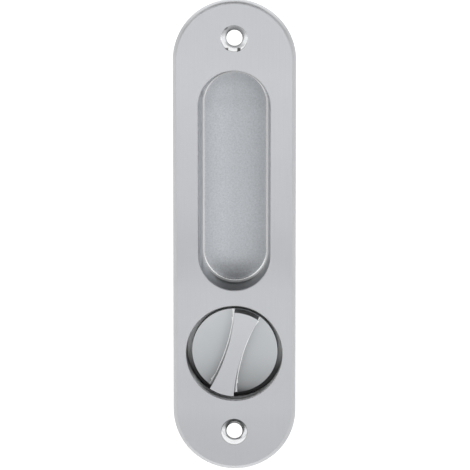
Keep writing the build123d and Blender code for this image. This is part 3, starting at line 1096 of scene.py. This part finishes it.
@dataclass(frozen=True)
class FingerDish:
    """The pressed dish behind the finger well, with a flange and four screw ears.

    Attributes:
        mouth: Half width of the bowl where it meets the flange.
        flange: Half width of the flange.
        flank: How far the bowl's curved flank reaches in from its mouth.
        depth: Depth of the bowl.
        front: Level of the flange's front.
        sheet: Thickness of the sheet.
        bowl_gap: Angle by which the bowl's curve stops short of the flange, in degrees.
        bowl_runs: Numbers of faces along the bowl's curve, inside and behind.
        lip_points: Two points that ease the bowl into the flange, as (out from the mouth,
            behind the front).
        lip_width: Width of the bright lip beside the bowl.
        lip_zone: How far behind the front and inwards of the mouth the lip reaches.
        straight: Length of the dish's straight sides.
        ear: Radius of a screw's ear.
        ear_root: How far an ear reaches in under the flange.
        hole: Radius of a screw's hole.
        screw: How far the screws are from the well's middle, across and along.
    """

    mouth: float = 10.06
    flange: float = 12.2
    flank: float = 9.0
    depth: float = 2.4
    front: float = 5.7
    sheet: float = 1.0
    bowl_gap: float = 1.1
    bowl_runs: tuple[int, int] = (16, 14)
    lip_points: tuple[Pair, Pair] = ((0.025, 0.08), (0.125, 0.0))
    lip_width: float = 0.42
    lip_zone: Pair = (0.12, 0.15)
    middle: float = 18.6
    straight: float = 48.36
    ear: float = 2.9
    ear_root: float = 0.6
    hole: float = 1.4
    screw: Pair = (15.0, 20.0)
    screw_middle: float = 18.4

    def section(self) -> list[Pair]:
        """Draws the dish's half section.

        Returns:
            Its (radius, y) points, from the bowl's floor round to its back.
        """
        radius = (self.flank**2 + self.depth**2) / (2 * self.depth)
        floor, rear = self.front + self.depth, self.front + self.sheet
        centre = (self.mouth - self.flank, floor - radius)
        back = radius + self.sheet
        bowl_end = degrees(asin((self.front - centre[1]) / radius)) + self.bowl_gap
        back_end = degrees(asin((rear - centre[1]) / back))
        inner, outer = self.bowl_runs
        return [
            (0, floor),
            *arc(centre, radius, 90, bowl_end, inner),
            *((self.mouth + out, self.front + deep) for out, deep in self.lip_points),
            (self.mouth + self.lip_width, self.front),
            (self.flange, self.front),
            (self.flange, rear),
            *arc(centre, back, back_end, 90, outer),
            (0, floor + self.sheet),
        ]

    def ear_at(self, place: Pair) -> Solid:
        """Models one rounded ear, from the flange out to its screw.

        Args:
            place: Where the screw is, as (x, z).

        Returns:
            The ear.
        """
        side, out = (1 if place[0] > 0 else -1), abs(place[0])
        made = Solid.pin("ear", self.ear, (self.front, self.front + self.sheet), place)
        made.open()
        made.pick(Element.POINTS, lambda point: side * point.x < out - HAIR)
        root = side * (self.flange - self.ear_root)
        bpy.ops.transform.resize(value=(0, 1, 1), center_override=(root * MM, 0, 0))
        bpy.ops.object.mode_set(mode="OBJECT")
        return made

    def build(self) -> Solid:
        """Models the dish.

        Returns:
            The finished solid.
        """
        dish = Solid.turned("finger_dish", self.section(), self.middle)
        dish.draw_out(self.straight, self.middle)
        places = four_places(*self.screw, self.screw_middle)
        for place in places:
            dish.combine(Joinery.WELD, self.ear_at(place))
        ends = (self.front - OVERCUT, self.front + self.sheet + OVERCUT)
        for place in places:
            dish.combine(Joinery.CUT, Solid.pin("hole", self.hole, ends, place))
        return dish.smooth()

    def look_of(self, middle: Vector, normal: Vector) -> DishLook:
        """Tells a face's finish by where it lies.

        Args:
            middle: The face's middle.
            normal: The face's normal.

        Returns:
            The look.
        """
        behind, inwards = self.lip_zone
        rise = max(abs(middle.z - self.middle) - self.straight / 2, 0)
        out = Vector((middle.x, rise)).length
        if middle.y < self.front + behind and out > self.mouth - inwards:
            near = out < self.mouth + self.lip_width
            return DishLook.BRIGHT_LIP if near else DishLook.DULL_FLANGE
        return DishLook.INSIDE if normal.y < 0 and out < self.mouth else DishLook.BACK

    def place(self) -> None:
        """Builds, dresses and places the dish."""
        self.build().dress(DishLook, self.look_of).put("plate", "grained_dish", "pull_dish")


class TurnLook(Enum):
    """The finishes of the turn's faces."""

    LOBE = TURN_SATIN
    CROWN = TURN_BAR
    SKIRT = TURN_SIDE
    # Painted shade on the grip's flanks.
    FLANK = BAR_FLANK_PAINTED_SHADE
    # Painted highlight on the round at the grip's foot.
    FOOT = BAR_FOOT_PAINTED_HIGHLIGHT


@dataclass(frozen=True)
class ThumbTurn:
    """The turn: a dished disc with a waisted grip bar in front, a hub and a shank behind.

    Attributes:
        lean: Angle of the bar from upright at rest, clockwise from the front, in degrees.
        rim: Level of the disc's rim.
        rim_radius: Round of the disc's edge.
        dish: Depth of the disc's dished front.
        pocket: Level of the disc's back within its skirt.
        skirt: Level of the skirt's rear edge.
        hub: Level of the hub's rear.
        groove: The retaining ring's groove, as front, rear and radius at its root.
        shank: Level of the shank's rear end.
        shank_edge: Chamfer at that end.
        grip_front: Level of the grip's crown.
        grip_radius: Radius that the grip's ends are cut to.
        grip_end: Width of the grip where its ends are cut.
        grip_waist: Width of the grip at its middle.
        grip_edge: Round of the crown's edge.
        grip_edge_runs: Number of faces across that round.
        grip_rear: Level that the grip reaches back to, within the disc.
        grip_sink: Depth of the grip's root under the dished front.
        grip_reach: Half length of the grip before its ends are cut.
        grip_runs: Number of runs along the grip.
        crown_mark: Depth that stands for the crown while the grip's section is drawn.
        parting: Half gap between the section's two sides while it is drawn.
        foot: Radius of the round at the grip's foot.
        foot_end: Angle at which that round stops, in degrees.
        foot_runs: Number of faces across that round.
        dish_end: Radius from which the dished front counts as level.
        disc_steps: Number of flats round the disc.
        disc_runs: Number of rings of faces on the disc's front and across its edge.
        socket: The spindle's square socket, as front level and width.
        pin_hole: The pin's cross hole, as level and radius.
        pin_steps: Number of flats round that hole.
        lug: The stop lug, as radius at its middle, width and angle.
        lug_root: How far the lug reaches into the disc.
        sharp_angle: Bend from which an edge stays sharp, in degrees.
        crown_angle: Bend from which an edge belongs to the crown's border, in degrees.
        flank_normal: Highest Y of a normal on the grip's flanks.
        foot_overlap: How far the foot's painted highlight reaches in under the flank.
        foot_normal: Highest Y of a normal that is not on the foot.
    """

    middle: float = -38.8
    lean: float = 17.5
    radius: float = 14.1
    rim: float = 2.2
    rim_radius: float = 0.14
    dish: float = 1.4
    pocket: float = 4.5
    skirt: float = 6.1
    skirt_wall: float = 1.6
    hub_radius: float = 7.8
    hub: float = 5.55
    shank_radius: float = 6.0
    groove: Triple = (9.85, 10.7, 5.4)
    shank: float = 13.05
    shank_edge: float = 0.3
    grip_front: float = -4.3
    grip_radius: float = 13.9
    grip_end: float = 8.1
    grip_waist: float = 5.0
    grip_edge: float = 0.2
    grip_edge_runs: int = 3
    grip_rear: float = 6.0
    grip_sink: float = 0.5
    grip_reach: float = 15.0
    grip_runs: int = 40
    crown_mark: float = -8.0
    parting: float = 5.0
    foot: float = 0.65
    foot_end: float = 260.0
    foot_runs: int = 5
    dish_end: float = 14.5
    disc_steps: int = 160
    disc_runs: int = 10
    socket: Pair = (5.0, 6.1)
    pin_hole: Pair = (11.875, 0.77)
    pin_steps: int = 24
    lug: Triple = (10.05, 2.3, 20.0)
    lug_root: float = 0.3
    sharp_angle: float = 30.0
    crown_angle: float = 40.0
    flank_normal: float = 0.12
    foot_overlap: float = 0.1
    foot_normal: float = -0.99

    @property
    def flat(self) -> float:
        """Radius of the disc's front within its rounded edge."""
        return self.radius - self.rim_radius

    @property
    def sphere(self) -> float:
        """Radius of the dished front's curve."""
        return (self.flat**2 + self.dish**2) / (2 * self.dish)

    def dish_y(self, out: float) -> float:
        """Depth of the dished front at a distance from the axis."""
        return self.rim + self.dish - (self.sphere - sqrt(self.sphere**2 - out**2))

    def half_width(self, along: float) -> float:
        """Works out the half width of the waisted grip at a distance along it.

        Args:
            along: The distance from the axis.

        Returns:
            The half width.
        """
        corner = sqrt(self.grip_radius**2 - (self.grip_end / 2) ** 2)
        waist = (self.grip_end - self.grip_waist) / 2
        bow = (corner**2 + waist**2) / (2 * waist)
        return self.grip_waist / 2 + bow - sqrt(bow**2 - along**2)

    def disc(self) -> Solid:
        """Models the disc, its hub and its grooved shank.

        Returns:
            The turned solid.
        """
        rings = [self.flat * ring / self.disc_runs for ring in range(self.disc_runs)]
        edge = (self.flat, self.rim + self.rim_radius)
        start, end, root = self.groove
        section = [
            *((ring, self.dish_y(ring)) for ring in rings),
            *arc(edge, self.rim_radius, -90, 0, self.disc_runs),
            (self.radius, self.skirt),
            (self.radius - self.skirt_wall, self.skirt),
            (self.radius - self.skirt_wall, self.pocket),
            (self.hub_radius, self.pocket),
            (self.hub_radius, self.hub),
            (self.shank_radius, self.hub),
            (self.shank_radius, start),
            (root, start),
            (root, end),
            (self.shank_radius, end),
            (self.shank_radius, self.shank - self.shank_edge),
            (self.shank_radius - self.shank_edge, self.shank),
            (0, self.shank),
        ]
        return Solid.turned("thumb_turn_grip", section, self.middle, self.disc_steps)

    def grip(self) -> Solid:
        """Models the waisted bar with a rounded foot, still upright.

        Its section is drawn out along the bar with its sides parted, and then each point goes
        to the bar's width there, and to the crown or the dished front.

        Returns:
            The bar, with both ends still to be cut.
        """
        curve = arc((self.foot, self.foot), self.foot, 180, self.foot_end, self.foot_runs)
        toe = [(x, -y) for x, y in curve]
        half = [(0.0, self.crown_mark), *toe, (toe[-1][0], self.grip_sink)]
        ring = [(1, x, y) for x, y in half] + [(-1, x, y) for x, y in reversed(half)]
        points = [(side * (self.parting + x), y, -self.grip_reach) for side, x, y in ring]
        bar = Solid.outline("grip_bar", points)
        bpy.ops.mesh.select_all(action="SELECT")
        bpy.ops.mesh.edge_face_add()
        run = (0, 0, 2 * self.grip_reach / self.grip_runs * MM)
        for _ in range(self.grip_runs):
            bpy.ops.mesh.extrude_region_move(TRANSFORM_OT_translate={"value": run})
        mesh = bmesh.from_edit_mesh(bar.thing.data)
        for point in mesh.verts:
            x, y, along = point.co / MM
            side = 1 if x > 0 else -1
            out = self.half_width(along) + abs(x) - self.parting
            depth = self.dish_y(min(Vector((out, along)).length, self.dish_end)) + y
            if y < self.crown_mark / 2:
                depth = self.grip_front
            point.co = Vector((side * out, depth, along + self.middle)) * MM
        bmesh.update_edit_mesh(bar.thing.data)
        bar.close()
        return bar

    def is_crown_edge(self, first: Vector, second: Vector, edge: bmesh.types.BMEdge) -> bool:
        """Tells whether an edge runs round the grip's front face.

        Args:
            first: Place of one end.
            second: Place of the other end.
            edge: The edge itself.

        Returns:
            True if it does.
        """
        level = self.grip_front + HAIR
        bend = radians(self.crown_angle)
        return first.y < level and second.y < level and edge.calc_face_angle(0) > bend

    def stop_lug(self) -> Solid:
        """Models the short arc behind the disc that runs against the carrier's stop ring.

        Returns:
            The lug.
        """
        centre, width, spread = self.lug
        near, far, root = centre - width / 2, centre + width / 2, self.pocket - self.lug_root
        section = [(near, root), (far, root), (far, self.skirt), (near, self.skirt), (near, root)]
        ring = Solid.turned("stop_lug", section, self.middle, RING_STEPS)
        corner = centre * sin(radians(spread / 2)) * sqrt(2)
        below = self.middle - centre
        ends = (root - OVERCUT, self.skirt + OVERCUT)
        wedge = Solid.pin("wedge", corner, ends, (0, below), SQUARE_STEPS)
        wedge.turn(SQUARE_TURN, below)
        return ring.combine(Joinery.KEEP, wedge)

    def build(self) -> Solid:
        """Models the turn.

        Returns:
            The finished solid.
        """
        bar = self.grip()
        crown, out = self.grip_front - OVERCUT, self.grip_radius
        section = [(0, crown), (out, crown), (out, self.grip_rear), (0, self.grip_rear)]
        ends_cut = Solid.turned("grip_round", section, self.middle, self.disc_steps)
        bar.combine(Joinery.KEEP, ends_cut)
        bar.bevel(self.is_crown_edge, self.grip_edge, self.grip_edge_runs)
        bar.turn(self.lean, self.middle)
        knob = self.disc().combine(Joinery.WELD, bar)
        front, width = self.socket
        ends = (front, self.shank + OVERCUT)
        hole = Solid.pin("socket", width / sqrt(2), ends, (0, self.middle), SQUARE_STEPS)
        hole.turn(self.lean + SQUARE_TURN, self.middle)
        level, radius = self.pin_hole
        reach = self.shank_radius + OVERCUT
        left, right = (-reach, level, self.middle), (reach, level, self.middle)
        cross = Solid.bar("pin_hole", radius, left, right, self.pin_steps)
        cross.turn(self.lean, self.middle)
        knob.combine(Joinery.WELD, self.stop_lug())
        return knob.combine(Joinery.CUT, hole, cross).smooth(self.sharp_angle)

    def look_of(self, middle: Vector, normal: Vector) -> TurnLook:
        """Tells a face's finish by where it lies.

        Args:
            middle: The face's middle.
            normal: The face's normal.

        Returns:
            The look.
        """
        x, z = middle.x, middle.z - self.middle
        if Vector((x, z)).length > self.radius - SLACK or middle.y > self.pocket - WIDE_SLACK:
            return TurnLook.SKIRT
        if middle.y < self.grip_front + self.grip_edge + SLACK:
            return TurnLook.CROWN
        if abs(normal.y) < self.flank_normal:
            return TurnLook.FLANK
        turn = radians(self.lean)
        along = x * sin(turn) + z * cos(turn)
        across = abs(x * cos(turn) - z * sin(turn)) - self.half_width(along)
        beside = -self.foot_overlap < across < self.foot
        return TurnLook.FOOT if beside and normal.y > self.foot_normal else TurnLook.LOBE

    def place(self) -> None:
        """Builds, dresses and places the turn."""
        self.build().dress(TurnLook, self.look_of).put("turn", "satin_turn", "turn_knob")


class Hardware:
    """The pieces behind the plate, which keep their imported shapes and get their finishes."""

    FINISHES = {
        "dish_screws": ZINC,
        "carrier_screws": ZINC,
        "turn_carrier": CARRIER,
        "turn_bush": ACETAL,
        "spindle": DRAWN,
        "spindle_pin": SPRING,
        "friction_washer": ACETAL,
        "spring_washer": SPRING,
        "backing_washer": ZINC,
        "retaining_ring": SPRING,
    }

    def dress(self) -> None:
        """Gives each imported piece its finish, and makes each finish once."""
        made: dict[str, bpy.types.Material] = {}
        for node, finish in self.FINISHES.items():
            if finish.name not in made:
                made[finish.name] = finish.material()
            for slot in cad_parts[node].material_slots:
                slot.material = made[finish.name]
            log.info("%s: %s", node, finish.name)


# Studio


@dataclass(frozen=True)
class Studio:
    """The pale floor, the white surroundings, a dark card and the camera.

    Attributes:
        floor_level: Height of the floor.
        floor_size: Width of the floor, in metres.
        floor_tone: How pale the floor is.
        floor_glow: How bright the floor shows to the camera, in metal and through glass.
        soft_light: Strength of the surroundings' light.
        lens: Focal length.
        sensor: Width of the sensor.
        clip: Nearest and farthest distances that the camera sees, in metres.
        face_level: Level of the plate's face.
        camera_distance: How far in front of that face the camera stands.
        camera_rise: Height of the camera above the origin.
        azimuth: How far to the right of the plate the camera stands, in degrees.
        camera_turn: How far the camera turns back to the left, in degrees.
        camera_tilt: How far the camera looks down, in degrees.
        card_distance: Distance of the dark card in front of the origin, in metres.
        card_spread: Half angle that the card fills from side to side, in degrees.
        card_low: Angle of its lower edge above level, in degrees.
        card_high: Angle of its upper edge above level, in degrees.
        card_tone: How dark the card is.
        card_roughness: Roughness of the card.
    """

    floor_level: float = -112.0
    floor_size: float = 9.0
    floor_tone: float = 0.93
    floor_glow: float = 0.5
    soft_light: float = 0.9
    lens: float = 360.057
    sensor: float = 36.0
    clip: Pair = (0.1, 50.0)
    face_level: float = -2.5
    camera_distance: float = 1500.0
    camera_rise: float = 290.0
    azimuth: float = 2.55
    camera_turn: float = 2.54
    camera_tilt: float = 10.909
    card_distance: float = 2.5
    card_spread: float = 45.0
    card_low: float = 20.0
    card_high: float = 72.0
    card_tone: float = 0.03
    card_roughness: float = 0.9

    def seen_white(self, tree: bpy.types.NodeTree) -> bpy.types.NodeSocket:
        """Makes a one for rays from the camera, in mirrors and through glass.

        Args:
            tree: The node tree that gets the nodes.

        Returns:
            The value's socket, which is nought for all other rays.
        """
        path = tree.nodes.new("ShaderNodeLightPath")
        seen = path.outputs["Is Camera Ray"]
        for ray in ("Is Glossy Ray", "Is Transmission Ray"):
            either = tree.nodes.new("ShaderNodeMath")
            either.operation = "MAXIMUM"
            tree.links.new(seen, either.inputs[0])
            tree.links.new(path.outputs[ray], either.inputs[1])
            seen = either.outputs[0]
        return seen

    def world(self) -> None:
        """Makes white surroundings at a plain level."""
        world = bpy.data.worlds.new("white_surroundings")
        bpy.context.scene.world = world
        world.use_nodes = True
        tree = world.node_tree
        tree.nodes.clear()
        out = tree.nodes.new("ShaderNodeOutputWorld")
        mix = tree.nodes.new("ShaderNodeMixShader")
        tree.links.new(self.seen_white(tree), mix.inputs[0])
        for socket, strength in ((1, self.soft_light), (2, 1.0)):
            sky = tree.nodes.new("ShaderNodeBackground")
            sky.inputs["Color"].default_value = shade(WHITE, 1.0)
            sky.inputs["Strength"].default_value = strength
            tree.links.new(sky.outputs[0], mix.inputs[socket])
        tree.links.new(mix.outputs[0], out.inputs[0])

    def floor(self) -> None:
        """Lays a pale floor below the object."""
        bpy.ops.object.select_all(action="DESELECT")
        place = (0, 0, self.floor_level * MM)
        bpy.ops.mesh.primitive_plane_add(size=self.floor_size, location=place)
        floor = bpy.context.object
        floor.name = "floor"
        recipe = Recipe("pale_floor")
        recipe.tree.nodes.remove(recipe.shader)
        paper = recipe.node("BsdfDiffuse", {"Color": shade(WHITE, self.floor_tone)})
        inputs = {0: self.seen_white(recipe.tree), 1: self.floor_glow}
        level = recipe.node("Math", inputs, operation="MULTIPLY").outputs[0]
        glow = recipe.node("Emission", {"Color": shade(WHITE, 1.0), "Strength": level})
        both = recipe.node("AddShader", {0: paper.outputs[0], 1: glow.outputs[0]})
        surface = recipe.tree.nodes["Material Output"].inputs["Surface"]
        recipe.tree.links.new(both.outputs[0], surface)
        floor.data.materials.append(recipe.material)

    def card(self, name: str) -> None:
        """Hangs a dark card high in front of the object, out of the camera's sight.

        Args:
            name: The card's name.
        """
        low, high = (
            self.card_distance * tan(radians(angle)) for angle in (self.card_low, self.card_high)
        )
        bpy.ops.object.select_all(action="DESELECT")
        place = (0, -self.card_distance, (low + high) / 2)
        bpy.ops.mesh.primitive_plane_add(size=1.0, location=place, rotation=(pi / 2, 0, 0))
        card = bpy.context.object
        card.name = name
        width = 2 * self.card_distance * tan(radians(self.card_spread))
        card.scale = (width, high - low, 1)
        recipe = Recipe(name)
        recipe.shader.inputs["Base Color"].default_value = shade(WHITE, self.card_tone)
        recipe.shader.inputs["Roughness"].default_value = self.card_roughness
        recipe.shader.inputs["Specular IOR Level"].default_value = 0.0
        card.data.materials.append(recipe.material)
        card.visible_camera = False

    def camera(self) -> None:
        """Sets up a camera above the plate that looks down at its middle."""
        turn, dip = radians(self.camera_turn), radians(self.camera_tilt)
        aside = self.camera_distance * tan(radians(self.azimuth))
        ahead = self.face_level - self.camera_distance
        place = Vector((aside, ahead, self.camera_rise)) * MM
        sight = Vector((-sin(turn) * cos(dip), cos(turn) * cos(dip), -sin(dip)))
        rotation = sight.to_track_quat("-Z", "Y").to_euler()
        bpy.ops.object.camera_add(location=place, rotation=rotation)
        camera = bpy.context.object
        camera.data.lens = self.lens
        camera.data.sensor_width = self.sensor
        camera.data.clip_start, camera.data.clip_end = self.clip
        bpy.context.scene.camera = camera

    def build(self) -> None:
        """Sets up the whole studio."""
        self.camera()
        self.world()
        self.floor()
        self.card("dark_card")
        bpy.context.scene.view_settings.view_transform = "Standard"


def main() -> None:
    """Builds the studio and every sub-assembly in order."""
    logging.basicConfig(level=logging.INFO, format="%(name)s: %(message)s")
    Studio().build()
    FacePlate().place()
    FingerDish().place()
    ThumbTurn().place()
    Hardware().dress()


if __name__ == "__main__":
    main()
